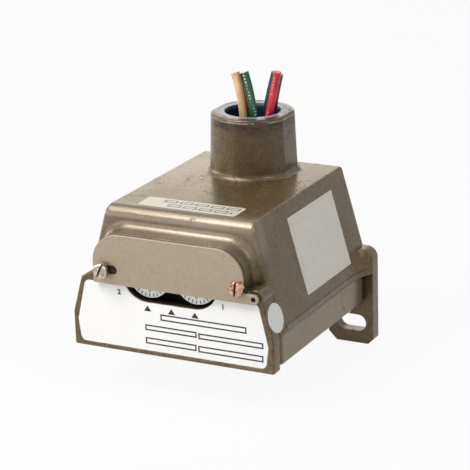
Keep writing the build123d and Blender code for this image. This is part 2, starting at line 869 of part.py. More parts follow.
def make_bracket_screws():
    screws = []
    for x, y in base_bosses():
        top = foot_z + bracket_sheet
        shank = upright(foot_screw_radius, floor_z + foot_screw_end_gap, top, x, y)
        head = slotted_head(foot_screw_head_radius, foot_screw_head_height,
                            driver_width=1.0, driver_depth=1.1, crown=0.5)
        screws.append(shank + Pos(x, y, top) * head)
    return Compound(children=screws)


# Snap switches
def switch_screw_places():
    middle = switch_rear_y - switch_length / 2
    z = switch_low_z + switch_screw_rise
    return [(middle - switch_screw_spacing / 2, z), (middle + switch_screw_spacing / 2, z)]


def switch_range(x):
    inner = bracket_half - bracket_sheet
    return (inner - switch_width, inner) if x > 0 else (-inner, -inner + switch_width)


def make_switch(x):
    low, high = switch_range(x)
    front = switch_rear_y - switch_length
    body = block(low, high, front, switch_rear_y, switch_low_z, switch_low_z + switch_height)
    body = chamfer(body.edges().filter_by(Axis.X), switch_edge)
    middle = (low + high) / 2
    half_x = button_width / 2 + running_clearance
    half_y = button_length / 2 + running_clearance
    well_top = switch_low_z + button_stem + button_stroke + button_well_gap
    body -= block(middle - half_x, middle + half_x, lever_tip_y - half_y, lever_tip_y + half_y,
                  switch_low_z - 1, well_top)
    for y, z in switch_screw_places():
        body -= along_x(switch_screw_radius, low - 1, high + 1, y, z)
    return body


def make_button(x):
    low, high = switch_range(x)
    middle = (low + high) / 2
    return block(middle - button_width / 2, middle + button_width / 2,
                 lever_tip_y - button_length / 2, lever_tip_y + button_length / 2,
                 switch_low_z - button_stroke, switch_low_z + button_stem)


def terminal_places(x):
    low, high = switch_range(x)
    first_y = switch_rear_y - terminal_margin
    return [((low + high) / 2, first_y - terminal_pitch * i) for i in range(3)]


def make_terminals():
    tabs = []
    top = switch_low_z + switch_height
    for x in (-dial_x, dial_x):
        for cx, cy in terminal_places(x):
            tabs.append(block(cx - terminal_width / 2, cx + terminal_width / 2,
                              cy - terminal_thickness / 2, cy + terminal_thickness / 2,
                              top, top + terminal_height))
    return Compound(children=tabs)


def make_switch_screws():
    screws = []
    for side in (-1, 1):
        for y, z in switch_screw_places():
            inner = bracket_half - bracket_sheet - switch_width + switch_screw_end_gap
            shank = (inner, bracket_half) if side > 0 else (-bracket_half, -inner)
            screw = along_x(switch_screw_radius, *shank, y, z)
            head = slotted_head(switch_screw_head_radius, switch_screw_head_height,
                                driver_width=0.7, driver_depth=0.8, crown=0.4)
            screw += Pos(side * bracket_half, y, z) * Rot(0, side * 90, 0) * head
            screws.append(screw)
    return Compound(children=screws)


# Leads: short stiff stubs from the potting, cut off square
def lead_paths():
    # Each lead: distance behind the hub's axis, x in the potting, x at the waist, and its end.
    routes = {
        "tan": (-3.2, -2.1, -2.2, -5.1, 13.8),
        "orange": (-0.3, -1.9, -2.7, -6.2, 13.1),
        "green": (-2.5, 2.0, 1.6, -1.4, 14.2),
        "black": (2.6, -1.6, -2.6, -5.1, 12.3),
        "red": (-2.0, 5.2, 8.5, 11.1, 15.2),
        "violet": (1.2, 3.2, 5.6, 8.5, 14.0),
        "blue": (4.0, 4.4, 6.7, 8.9, 12.7),
    }
    return {
        name: [
            (foot_x, hub_y + back, potting_low_z),
            (foot_x, hub_y + back, hub_top_z - lead_bend_drop),
            (waist_x, hub_y + back, hub_top_z + lead_waist_rise),
            (end_x, hub_y + back, hub_top_z + end_rise),
        ]
        for name, (back, foot_x, waist_x, end_x, end_rise) in routes.items()
    }


def tube(points, radius):
    corners = [Vector(*p) for p in points]
    radii = []
    for a, b, c in zip(corners, corners[1:], corners[2:]):
        turn = math.radians((b - a).get_angle(c - b))
        radii.append(0.45 * min((b - a).length, (c - b).length) / math.tan(turn / 2))
    path = FilletPolyline(*corners, radius=radii)
    start = Plane(origin=corners[0], z_dir=corners[1] - corners[0])
    return sweep(start * Circle(radius), path=path)


os.makedirs("parts", exist_ok=True)

parts = {
    "cover_casting": make_cover(),
    "base_casting": make_base(),
    "base_seal": make_base_seal(),
    "base_screws": make_base_screws(),
    "cover_plate": make_plate(),
    "plate_gasket": make_plate_gasket(),
    "plate_screws": make_cover_screws(),
    "name_label": make_name_label(),
    "top_label": make_top_label(),
    "side_label": make_side_label(),
    "round_sticker": make_round_sticker(),
    "thread_protector": make_protector(),
    "potting": make_potting(),
    "pressure_port": make_port(),
    "port_locknut": make_locknut(),
    "diaphragm": make_diaphragm(),
    "clamp_ring": make_clamp_ring(),
    "clamp_screws": make_clamp_screws(),
    "plunger": make_plunger(),
    "bracket": make_bracket(),
    "bracket_screws": make_bracket_screws(),
    "switch_terminals": make_terminals(),
    "switch_screws": make_switch_screws(),
    "pivot_pin": make_pivot_pin(),
    "lever_spacer": make_lever_spacer(),
}
for number, x in ((1, dial_x), (2, -dial_x)):
    parts[f"dial_{number}"] = make_dial(x)
    parts[f"adjusting_screw_{number}"] = make_adjusting_screw(x)
    parts[f"spring_nut_{number}"] = make_nut(x)
    parts[f"range_spring_{number}"] = make_spring(x)
    parts[f"lever_{number}"] = make_lever(x)
    parts[f"snap_switch_{number}"] = make_switch(x)
    parts[f"switch_button_{number}"] = make_button(x)
for name, path in lead_paths().items():
    parts[f"lead_{name}"] = tube(path, lead_radius)

for name, solid in parts.items():
    export_step(solid, f"parts/{name}.step")
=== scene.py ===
import math

import bmesh
import bpy
from mathutils import Matrix, Vector


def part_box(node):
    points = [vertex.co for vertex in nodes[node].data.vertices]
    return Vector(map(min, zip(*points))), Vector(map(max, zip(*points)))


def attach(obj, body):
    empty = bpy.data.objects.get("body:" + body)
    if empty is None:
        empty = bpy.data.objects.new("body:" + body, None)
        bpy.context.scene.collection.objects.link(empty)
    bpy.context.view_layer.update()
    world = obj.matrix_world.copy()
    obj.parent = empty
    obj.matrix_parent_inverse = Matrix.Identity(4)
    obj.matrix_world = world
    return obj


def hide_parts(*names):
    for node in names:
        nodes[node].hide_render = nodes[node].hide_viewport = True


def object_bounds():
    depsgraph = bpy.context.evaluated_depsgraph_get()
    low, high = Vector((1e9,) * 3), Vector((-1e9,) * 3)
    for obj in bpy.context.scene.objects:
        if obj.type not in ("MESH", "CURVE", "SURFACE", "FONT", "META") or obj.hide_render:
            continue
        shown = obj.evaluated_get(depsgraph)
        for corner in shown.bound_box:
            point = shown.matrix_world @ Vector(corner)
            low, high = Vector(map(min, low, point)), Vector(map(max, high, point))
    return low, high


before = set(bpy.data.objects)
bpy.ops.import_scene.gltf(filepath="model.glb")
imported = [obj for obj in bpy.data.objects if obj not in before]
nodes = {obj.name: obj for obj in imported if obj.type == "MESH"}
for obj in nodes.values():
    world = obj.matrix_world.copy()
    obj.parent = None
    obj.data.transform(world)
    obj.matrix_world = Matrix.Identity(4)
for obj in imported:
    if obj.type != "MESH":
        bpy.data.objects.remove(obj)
cad_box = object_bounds()
MM = 0.001

# Places read from the frame, in metres
cover_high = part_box("cover_casting")[1]
base_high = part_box("base_casting")[1]
label_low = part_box("name_label")[0]
top_label_low, top_label_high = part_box("top_label")
potting_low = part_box("potting")[0]
hub_top_z = cover_high.z
front_y = label_low.y

# Sizes and places that the boxes don't give
LABEL_ABOVE_FOOT = 1.9 * MM
foot_z = label_low.z - LABEL_ABOVE_FOOT
HUB_Y = -14.0 * MM
HUB_WALL_INSIDE = 13.4 * MM
HUB_WALL_OUTSIDE = 17.8 * MM
FLAT_ANGLE = math.radians(18.8)
SHARP_ANGLE = math.radians(26.0)
WINDOW_HALF_WIDTH = 19.5 * MM
WINDOW_LOW_Z = 22.0 * MM
WINDOW_HIGH_Z = 47.0 * MM
WINDOW_BACK_Y = -10.0 * MM
INK_PROUD = 0.03 * MM


def below_top(distance):
    # A height, given in millimetres below the top of the conduit hub.
    return hub_top_z - distance * MM


def add_object(name, data):
    obj = bpy.data.objects.new(name, data)
    bpy.context.scene.collection.objects.link(obj)
    return obj


# Materials
class Nodes:
    """A material's node tree, with short calls for the nodes used here."""

    def __init__(self, name):
        self.mat = bpy.data.materials.new(name)
        self.mat.use_nodes = True
        self.tree = self.mat.node_tree
        self.shader = self.tree.nodes["Principled BSDF"]

    def add(self, kind, **values):
        node = self.tree.nodes.new(kind)
        for key, value in values.items():
            setattr(node, key, value)
        return node

    def link(self, a, b):
        self.tree.links.new(a, b)

    def place(self):
        return self.add("ShaderNodeTexCoord").outputs["Object"]

    def axis(self, name):
        node = self.add("ShaderNodeSeparateXYZ")
        self.link(self.place(), node.inputs["Vector"])
        return node.outputs[name]

    def noise(self, scale, detail, rough=0.6, distort=0.0, vector=None):
        node = self.add("ShaderNodeTexNoise")
        node.inputs["Scale"].default_value = scale
        node.inputs["Detail"].default_value = detail
        node.inputs["Roughness"].default_value = rough
        node.inputs["Distortion"].default_value = distort
        self.link(vector or self.place(), node.inputs["Vector"])
        return node.outputs["Fac"]

    def stretched(self, x, y, z):
        node = self.add("ShaderNodeMapping")
        node.inputs["Scale"].default_value = (x, y, z)
        self.link(self.place(), node.inputs["Vector"])
        return node.outputs["Vector"]

    def ramp(self, fac, stops):
        node = self.add("ShaderNodeValToRGB")
        ramp = node.color_ramp
        while len(ramp.elements) < len(stops):
            ramp.elements.new(0.5)
        for element, (at, colour) in zip(ramp.elements, stops):
            element.position = at
            element.color = (*colour, 1.0)
        self.link(fac, node.inputs["Fac"])
        return node.outputs["Color"]

    def level(self, fac, low, high, out_low, out_high):
        node = self.add("ShaderNodeMapRange")
        node.inputs["From Min"].default_value = low
        node.inputs["From Max"].default_value = high
        node.inputs["To Min"].default_value = out_low
        node.inputs["To Max"].default_value = out_high
        self.link(fac, node.inputs["Value"])
        return node.outputs["Result"]

    def mix(self, fac, a, b):
        node = self.add("ShaderNodeMix", data_type="RGBA")
        self.link(fac, node.inputs[0])
        for value, socket in ((a, node.inputs[6]), (b, node.inputs[7])):
            if isinstance(value, bpy.types.NodeSocket):
                self.link(value, socket)
            else:
                socket.default_value = (*value, 1.0)
        return node.outputs[2]

    def maths(self, kind, a, b=0.0):
        node = self.add("ShaderNodeMath", operation=kind)
        for value, socket in ((a, node.inputs[0]), (b, node.inputs[1])):
            if isinstance(value, bpy.types.NodeSocket):
                self.link(value, socket)
            else:
                socket.default_value = value
        return node.outputs[0]

    def times(self, a, b):
        return self.maths("MULTIPLY", a, b)

    def span(self, value, low, high, soft):
        # 1 between low and high, fading to 0 over the distance soft on both sides.
        rise = self.level(value, low - soft, low, 0.0, 1.0)
        fall = self.level(value, high, high + soft, 1.0, 0.0)
        return self.times(rise, fall)

    def hollows(self, distance, samples, low, high, most):
        # The value most in corners and hollows, fading to 0 on open faces.
        node = self.add("ShaderNodeAmbientOcclusion", samples=samples)
        node.inputs["Distance"].default_value = distance
        return self.level(node.outputs["AO"], low, high, most, 0.0)

    def soft_normal(self, radius):
        node = self.add("ShaderNodeBevel", samples=6)
        node.inputs["Radius"].default_value = radius
        return node.outputs["Normal"]

    def edges(self, radius, low=0.02, high=0.25):
        # 1 near a sharp edge, 0 on open faces.
        soft = self.soft_normal(radius)
        plain = self.add("ShaderNodeNewGeometry").outputs["Normal"]
        dot = self.add("ShaderNodeVectorMath", operation="DOT_PRODUCT")
        self.link(soft, dot.inputs[0])
        self.link(plain, dot.inputs[1])
        away = self.maths("SUBTRACT", 1.0, dot.outputs["Value"])
        return self.level(away, low, high, 0.0, 1.0)

    def bump(self, height, strength, distance, normal=None):
        node = self.add("ShaderNodeBump")
        node.inputs["Strength"].default_value = strength
        node.inputs["Distance"].default_value = distance
        self.link(height, node.inputs["Height"])
        if normal is not None:
            self.link(normal, node.inputs["Normal"])
        self.link(node.outputs["Normal"], self.shader.inputs["Normal"])

    def colour(self, value):
        if isinstance(value, bpy.types.NodeSocket):
            self.link(value, self.shader.inputs["Base Color"])
        else:
            self.shader.inputs["Base Color"].default_value = (*value, 1.0)

    def rough(self, value):
        if isinstance(value, bpy.types.NodeSocket):
            self.link(value, self.shader.inputs["Roughness"])
        else:
            self.shader.inputs["Roughness"].default_value = value

    def metal(self, value):
        self.shader.inputs["Metallic"].default_value = value


def cast_skin(m, tone, fine):
    # Satin brown metal with a fine dark and pale speckle, the base paler than the cover.
    body = m.ramp(tone, [(0.30, (0.120, 0.080, 0.037)), (0.52, (0.150, 0.103, 0.049)),
                         (0.76, (0.188, 0.134, 0.070))])
    body = m.mix(m.level(fine, 0.38, 0.52, 0.65, 0.0), body, (0.056, 0.037, 0.019))
    body = m.mix(m.level(fine, 0.54, 0.70, 0.0, 0.45), body, (0.240, 0.180, 0.110))
    y, z = m.axis("Y"), m.axis("Z")
    base = m.times(m.level(z, base_high.z - 1.0 * MM, base_high.z, 1.0, 0.0),
                   m.span(y, front_y + 7.0 * MM, -7.0 * MM, 1.0 * MM))
    return m.mix(m.times(base, 0.5), body, (0.290, 0.225, 0.145))


def pits_and_smears(m, body):
    # Pits everywhere and dark smears, both thickest round the top of the hub.
    near_top = m.level(m.axis("Z"), below_top(17.0), below_top(2.0), 0.0, 1.0)
    patches = m.noise(75.0, 6.0, 0.7, 0.8)
    patches = m.maths("ADD", patches, m.times(near_top, 0.085))
    specks = m.noise(560.0, 4.0, 0.75)
    pits = m.times(m.level(patches, 0.53, 0.68, 0.0, 1.0), m.level(specks, 0.52, 0.62, 0.0, 1.0))
    body = m.mix(m.times(pits, 0.85), body, (0.030, 0.022, 0.016))
    smear = m.noise(190.0, 4.0, 0.65, 0.4, m.stretched(1.0, 1.0, 2.6))
    smear = m.times(m.level(smear, 0.50, 0.66, 0.0, 0.55), near_top)
    return m.mix(smear, body, (0.040, 0.030, 0.022)), pits, patches


def hub_wear_and_reflection(m, body, patches):
    x, z = m.axis("X"), m.axis("Z")
    # A broad dark stain on the front of the hub, partly a painted dark reflection
    stain_and_dark_reflection = m.times(m.level(z, below_top(26.0), below_top(18.0), 0.0, 1.0),
                    m.span(x, 1.0 * MM, 9.0 * MM, 6.0 * MM))
    stain_and_dark_reflection = m.times(stain_and_dark_reflection, m.level(patches, 0.35, 0.70, 0.30, 1.0))
    body = m.mix(m.times(stain_and_dark_reflection, 0.9), body, (0.046, 0.024, 0.012))
    # A rubbed bright rim at the top and dark chips just under it
    chips = m.noise(330.0, 5.0, 0.75, 0.5, m.stretched(1.0, 1.0, 1.8))
    under = m.times(m.span(z, below_top(3.4), below_top(1.6), 1.2 * MM),
                    m.level(chips, 0.43, 0.52, 0.0, 0.9))
    body = m.mix(under, body, (0.024, 0.017, 0.012))
    rim = m.times(m.span(z, below_top(1.3), below_top(1.0), 0.2 * MM),
                  m.level(chips, 0.44, 0.54, 0.0, 0.6))
    return m.mix(rim, body, (0.50, 0.45, 0.38))


def rubbed_and_highlit_edges(m, body, tone):
    # Bright rubbed metal on the rounded edges, partly a painted highlight
    worn_and_highlit = m.times(m.edges(0.8 * MM, 0.03, 0.3), m.level(m.noise(240.0, 4.0), 0.40, 0.62, 0.0, 1.0))
    body = m.mix(m.times(worn_and_highlit, 0.55), body, (0.38, 0.33, 0.26))
    # Painted highlight on the upper edges of the pad and the cover, near the front
    brow_highlight = m.times(m.span(m.axis("Y"), front_y - 1.0 * MM, front_y + 12.0 * MM, 2.0 * MM),
                   m.level(m.axis("Z"), 42.0 * MM, 48.0 * MM, 0.0, 1.0))
    brow_highlight = m.times(brow_highlight, m.level(tone, 0.38, 0.58, 0.25, 0.6))
    return m.mix(brow_highlight, body, (0.240, 0.200, 0.150))


def shade_behind_window(m):
    # 1 in the space behind the dial window, where the casting is painted in deep shade, 0
    # elsewhere.
    y, soft = m.axis("Y"), 0.5 * MM
    inside = m.level(y, front_y + soft, front_y + 3.6 * MM, 0.0, 1.0)
    inside = m.times(inside, m.level(y, WINDOW_BACK_Y - soft, WINDOW_BACK_Y + soft, 1.0, 0.0))
    inside = m.times(inside, m.span(m.axis("X"), -WINDOW_HALF_WIDTH, WINDOW_HALF_WIDTH, soft))
    return m.times(inside, m.span(m.axis("Z"), WINDOW_LOW_Z, WINDOW_HIGH_Z, soft))


def casting_material():
    m = Nodes("cast_housing")
    tone = m.noise(34.0, 5.0, 0.62)
    fine = m.noise(900.0, 5.0, 0.75)
    body = cast_skin(m, tone, fine)
    body, pits, patches = pits_and_smears(m, body)
    body = hub_wear_and_reflection(m, body, patches)
    body = rubbed_and_highlit_edges(m, body, tone)
    # Painted shade in the hollows and creases, darker in patches.
    hollow_shade = m.times(m.hollows(4.0 * MM, 6, 0.30, 0.80, 0.75),
                    m.level(m.noise(260.0, 4.0), 0.30, 0.55, 0.55, 1.0))
    body = m.mix(hollow_shade, body, (0.040, 0.028, 0.017))
    # Painted shade: the casting inside, behind the dial window, goes near black.
    inside = shade_behind_window(m)
    m.colour(m.mix(inside, body, (0.010, 0.008, 0.006)))
    rough = m.level(tone, 0.3, 0.8, 0.29, 0.22)
    m.rough(m.maths("ADD", rough, m.times(m.maths("MAXIMUM", pits, inside), 0.35)))
    m.metal(0.25)
    m.shader.inputs["Specular IOR Level"].default_value = 0.40
    height = m.maths("SUBTRACT", m.times(fine, 0.22), pits)
    m.bump(height, 0.35, 0.25 * MM, m.soft_normal(0.5 * MM))
    return m.mat


def plate_material():
    m = Nodes("stainless_plate")
    grain = m.noise(22.0, 3.0, 0.5, 0.0, m.stretched(1.0, 12.0, 12.0))
    speck = m.noise(1500.0, 2.0, 0.6)
    base = m.ramp(speck, [(0.3, (0.310, 0.255, 0.187)), (0.7, (0.390, 0.325, 0.243))])
    base = m.mix(m.level(grain, 0.3, 0.7, 0.0, 0.22), base, (0.420, 0.358, 0.278))
    # The plate's edges are painted paler, a painted highlight.
    m.colour(m.mix(m.times(m.edges(0.3 * MM), 0.6), base, (0.66, 0.60, 0.50)))
    m.rough(m.level(speck, 0.3, 0.7, 0.46, 0.54))
    m.metal(0.75)
    m.bump(speck, 0.15, 0.05 * MM, m.soft_normal(0.15 * MM))
    return m.mat


def cover_screw_material():
    # Bright heads with painted shade in the slots, the right head with a copper tint.
    m = Nodes("cover_screws")
    tone = m.noise(700.0, 4.0, 0.6)
    pale = m.ramp(tone, [(0.35, (0.30, 0.25, 0.19)), (0.65, (0.66, 0.60, 0.50))])
    pink = m.ramp(tone, [(0.35, (0.30, 0.14, 0.09)), (0.65, (0.78, 0.50, 0.38))])
    head = m.mix(m.level(m.axis("X"), -1.0 * MM, 1.0 * MM, 0.0, 1.0), pale, pink)
    # Painted shade in the screw slots.
    hollow_shade = m.hollows(1.0 * MM, 8, 0.35, 0.75, 0.92)
    m.colour(m.mix(hollow_shade, head, (0.020, 0.014, 0.010)))
    m.rough(0.24)
    m.metal(1.0)
    m.bump(tone, 0.15, 0.05 * MM, m.soft_normal(0.12 * MM))
    return m.mat


def metal_material(name, colour, rough, metallic=1.0, dirt=0.25):
    m = Nodes(name)
    tone = m.noise(600.0, 4.0, 0.6)
    dark = tuple(c * (1.0 - dirt) for c in colour)
    m.colour(m.ramp(tone, [(0.3, dark), (0.65, colour)]))
    m.rough(m.level(tone, 0.3, 0.7, rough + 0.08, rough))
    m.metal(metallic)
    m.bump(tone, 0.12, 0.04 * MM, m.soft_normal(0.12 * MM))
    return m.mat


def film_material(name, colour, rough, spread=0.06):
    m = Nodes(name)
    tone = m.noise(300.0, 4.0, 0.6)
    dark = tuple(c * (1.0 - spread) for c in colour)
    m.colour(m.ramp(tone, [(0.35, dark), (0.65, colour)]))
    m.rough(rough)
    m.bump(m.noise(1500.0, 2.0), 0.05, 0.03 * MM)
    return m.mat


def plastic_material(name, colour, rough):
    m = Nodes(name)
    tone = m.noise(500.0, 3.0, 0.6)
    dark = tuple(c * 0.88 for c in colour)
    m.colour(m.ramp(tone, [(0.3, dark), (0.7, colour)]))
    m.rough(rough)
    m.bump(tone, 0.08, 0.05 * MM, m.soft_normal(0.15 * MM))
    return m.mat


def protector_material():
    # A pale, scuffed rim. The sleeve below it is a deep blue.
    m = Nodes("blue_protector")
    high = m.level(m.axis("Z"), below_top(1.6), below_top(0.15), 0.0, 1.0)
    tone = m.noise(350.0, 3.0)
    rim = m.ramp(tone, [(0.3, (0.17, 0.23, 0.32)), (0.7, (0.31, 0.37, 0.45))])
    m.colour(m.mix(high, (0.014, 0.026, 0.062), rim))
    m.rough(0.38)
    m.bump(tone, 0.1, 0.05 * MM, m.soft_normal(0.2 * MM))
    return m.mat


def ink_material(name, colour):
    m = Nodes(name)
    tone = m.noise(2500.0, 2.0)
    m.colour(m.ramp(tone, [(0.3, tuple(c * 0.7 for c in colour)), (0.7, colour)]))
    m.rough(0.5)
    return m.mat


CASTING = casting_material()
PLATE = plate_material()
STEEL = metal_material("plain_steel", (0.50, 0.50, 0.49), 0.34)
# Near black: the bracket's colour stands in for the deep shade behind the dial window.
BRACKET_SHADE_STEEL = metal_material("bracket_steel_painted_shade", (0.045, 0.042, 0.040), 0.5, 0.7)
SCREW = metal_material("bright_screw", (0.62, 0.56, 0.49), 0.22, 1.0, 0.3)
COVER_SCREW = cover_screw_material()
YELLOW = metal_material("yellow_screw", (0.80, 0.62, 0.34), 0.30)
BRASS = metal_material("brass", (0.74, 0.56, 0.26), 0.30)
LABEL = film_material("white_film", (0.96, 0.95, 0.93), 0.5, 0.015)
PALE = film_material("pale_film", (0.90, 0.86, 0.78), 0.5)
CREAM = film_material("cream_film", (0.70, 0.65, 0.56), 0.5)
WHITE = film_material("sticker_white", (0.96, 0.96, 0.95), 0.4)
DIAL = film_material("dial_white", (0.95, 0.95, 0.93), 0.45, 0.02)
RUBBER = plastic_material("seal_rubber", (0.035, 0.028, 0.025), 0.6)
PROTECTOR = protector_material()
POTTING = plastic_material("potting_resin", (0.010, 0.012, 0.018), 0.25)
SWITCH = plastic_material("switch_case", (0.030, 0.030, 0.032), 0.45)
BUTTON = plastic_material("switch_button", (0.50, 0.04, 0.03), 0.4)
INK = ink_material("black_ink", (0.022, 0.018, 0.016))
GREY_INK = ink_material("grey_ink", (0.040, 0.034, 0.028))

NODE_MATERIALS = {
    "cover_casting": CASTING, "base_casting": CASTING, "base_seal": RUBBER,
    "base_screws": YELLOW, "cover_plate": PLATE, "plate_gasket": RUBBER,
    "plate_screws": COVER_SCREW, "name_label": LABEL, "top_label": CREAM, "side_label": PALE,
    "round_sticker": WHITE, "thread_protector": PROTECTOR, "potting": POTTING,
    "pressure_port": STEEL, "port_locknut": STEEL, "diaphragm": STEEL, "clamp_ring": STEEL,
    "clamp_screws": SCREW, "plunger": BRASS, "bracket": BRACKET_SHADE_STEEL, "bracket_screws": SCREW,
    "switch_terminals": BRASS, "switch_screws": SCREW, "pivot_pin": STEEL,
    "lever_spacer": BRASS,
}
for number in (1, 2):
    NODE_MATERIALS[f"dial_{number}"] = DIAL
    NODE_MATERIALS[f"adjusting_screw_{number}"] = STEEL
    NODE_MATERIALS[f"spring_nut_{number}"] = BRASS
    NODE_MATERIALS[f"range_spring_{number}"] = STEEL
    NODE_MATERIALS[f"lever_{number}"] = STEEL
    NODE_MATERIALS[f"snap_switch_{number}"] = SWITCH
    NODE_MATERIALS[f"switch_button_{number}"] = BUTTON
for name, material in NODE_MATERIALS.items():
    mesh = nodes[name].data
    mesh.materials.clear()
    mesh.materials.append(material)


def hub_flats():
    # The casting again, with a shallow flat on each side of the conduit hub.
    bm = bmesh.new()
    bm.from_mesh(nodes["cover_casting"].data)
    bmesh.ops.remove_doubles(bm, verts=bm.verts, dist=0.001 * MM)

    def radius(vert):
        return math.hypot(vert.co.x, vert.co.y - HUB_Y)

    def on_hub(vert):
        high = vert.co.z > top_label_low.z - 0.01 * MM
        return high and HUB_WALL_INSIDE < radius(vert) < HUB_WALL_OUTSIDE

    creases = []
    for side in (1, -1):
        normal = Vector((-math.sin(FLAT_ANGLE), side * math.cos(FLAT_ANGLE), 0.0))
        faces = [f for f in bm.faces if all(on_hub(v) for v in f.verts)]
        edges = {e for f in faces for e in f.edges}
        verts = {v for f in faces for v in f.verts}
        cut = bmesh.ops.bisect_plane(bm, geom=[*verts, *edges, *faces], dist=0.0001 * MM,
                                     plane_co=(0.0, HUB_Y, 0.0), plane_no=normal)
        creases += [e for e in cut["geom_cut"] if isinstance(e, bmesh.types.BMEdge)]
    for vert in bm.verts:
        limit = radius(vert) * math.cos(FLAT_ANGLE)
        if on_hub(vert) and abs(vert.co.x) > limit:
            vert.co.x = math.copysign(limit, vert.co.x)
    for edge in bm.edges:
        edge.smooth = edge.is_manifold and edge.calc_face_angle() < SHARP_ANGLE
    for edge in creases:
        if edge.is_valid:
            edge.smooth = False
    mesh = bpy.data.meshes.new("cover_casting_flats")
    bm.to_mesh(mesh)
    bm.free()
    mesh.materials.append(CASTING)
    for face in mesh.polygons:
        face.use_smooth = True
    obj = add_object("cover_casting_flats", mesh)
    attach(obj, "housing")
    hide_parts("cover_casting")


hub_flats()


# Print on the labels and dials, as thin raised pieces
def piece(name, bm, material, body):
    mesh = bpy.data.meshes.new(name)
    bmesh.ops.recalc_face_normals(bm, faces=bm.faces)
    bm.to_mesh(mesh)
    bm.free()
    mesh.materials.append(material)
    for face in mesh.polygons:
        face.use_smooth = False
    obj = add_object(name, mesh)
    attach(obj, body)


def joined_loops(bm, first, second):
    # A ring of quads between two loops of as many vertices.
    count = len(first)
    for i in range(count):
        j = (i + 1) % count
        bm.faces.new((first[i], first[j], second[j], second[i]))


def prism(bm, points, to_world):
    # A flat outline, given the ink's thickness along the third local axis.
    low = [bm.verts.new(to_world @ Vector((x, y, 0.0))) for x, y in points]
    high = [bm.verts.new(to_world @ Vector((x, y, INK_PROUD))) for x, y in points]
    bm.faces.new(low)
    bm.faces.new(list(reversed(high)))
    joined_loops(bm, low, high)


def rectangle(x_low, x_high, y_low, y_high):
    return [(x_low, y_low), (x_high, y_low), (x_high, y_high), (x_low, y_high)]


def box_outline(bm, x_low, x_high, y_low, y_high, line, to_world):
    # An empty box: a closed frame of the line's width.
    loops = []
    for height in (0.0, INK_PROUD):
        for inset in (0.0, line):
            corners = rectangle(x_low + inset, x_high - inset, y_low + inset, y_high - inset)
            loops.append([bm.verts.new(to_world @ Vector((x, y, height))) for x, y in corners])
    low_out, low_in, high_out, high_in = loops
    joined_loops(bm, low_out, low_in)
    joined_loops(bm, low_in, high_in)
    joined_loops(bm, high_in, high_out)
    joined_loops(bm, high_out, low_out)


def numeral(bm, text, height, weight, to_world):
    # Digits from the built-in font, thickened by weight, centred on the local origin.
    height_share = 0.7
    curve = bpy.data.curves.new("numeral", "FONT")
    curve.body = text
    curve.size = height / height_share
    curve.offset = weight
    curve.align_x = "CENTER"
    curve.align_y = "CENTER"
    curve.resolution_u = 3
    curve.extrude = INK_PROUD / 2
    obj = add_object("numeral", curve)
    bpy.context.view_layer.update()
    mesh = bpy.data.meshes.new_from_object(obj)
    mesh.transform(to_world @ Matrix.Translation((0, 0, INK_PROUD / 2)))
    bm.from_mesh(mesh)
    bpy.data.objects.remove(obj)
    bpy.data.curves.remove(curve)
    bpy.data.meshes.remove(mesh)


def front_frame(y, x=0.0, z=0.0, turn=0.0):
    # Local x to the right, local y up, local z towards the viewer in front.
    basis = Matrix(((1, 0, 0, x), (0, 0, -1, y), (0, 1, 0, z), (0, 0, 0, 1)))
    return basis @ Matrix.Rotation(turn, 4, "Z")


# The front label's print in millimetres, with heights from the foot of the front face
POINTER_CENTRES = (-8.8, 0.3, 9.2)
POINTER_HALF_WIDTH = 1.4
POINTER_LOW, POINTER_HIGH = 16.0, 18.0
# Each box: left, right, lower and upper edge
LABEL_BOXES = (
    (-4.0, 28.3, 13.3, 15.6), (-10.0, 9.6, 9.1, 11.2), (10.2, 34.4, 8.8, 10.9),
    (-10.0, 9.4, 4.3, 6.6), (10.0, 34.3, 4.1, 6.4),
)
LABEL_LINE = 0.50
CHANNEL_NUMBERS = (("2", -19.6, 21.35), ("1", 19.8, 21.45))
CHANNEL_HEIGHT = 1.75
CHANNEL_WEIGHT = 0.12


def label_print():
    # Pointers under the dial window, the two channel numbers and five empty boxes.
    bm = bmesh.new()
    plane = front_frame(label_low.y)
    low, high = foot_z + POINTER_LOW * MM, foot_z + POINTER_HIGH * MM
    for x in POINTER_CENTRES:
        left, right = x - POINTER_HALF_WIDTH, x + POINTER_HALF_WIDTH
        prism(bm, [(left * MM, low), (right * MM, low), (x * MM, high)], plane)
    for x_low, x_high, z_low, z_high in LABEL_BOXES:
        box_outline(bm, x_low * MM, x_high * MM, foot_z + z_low * MM, foot_z + z_high * MM,
                    LABEL_LINE * MM, plane)
    for text, x, z in CHANNEL_NUMBERS:
        spot = front_frame(label_low.y, x * MM, foot_z + z * MM)
        numeral(bm, text, CHANNEL_HEIGHT * MM, CHANNEL_WEIGHT * MM, spot)
    piece("label_print", bm, INK, "housing")


def top_label_print():
    # Two rows of small empty boxes and a dot at the end of the second row.
    bm = bmesh.new()
    middle = (top_label_low + top_label_high) / 2
    plane = Matrix.Translation((middle.x, middle.y, top_label_high.z))
    box_pitch, box_width, box_height, line = 5.9, 4.8, 2.3, 0.42
    for y_low, count, x_first in ((0.9, 5, -11.2), (-3.1, 4, -7.9)):
        for i in range(count):
            x_low = x_first + i * box_pitch
            box_outline(bm, x_low * MM, (x_low + box_width) * MM,
                        y_low * MM, (y_low + box_height) * MM, line * MM, plane)
    dot_x, dot_y, dot_radius, dot_sides = 15.9 * MM, -2.0 * MM, 0.6 * MM, 16
    angles = [2 * math.pi * i / dot_sides for i in range(dot_sides)]
    prism(bm, [(dot_x + dot_radius * math.cos(a), dot_y + dot_radius * math.sin(a))
               for a in angles], plane)
    piece("top_label_print", bm, GREY_INK, "housing")


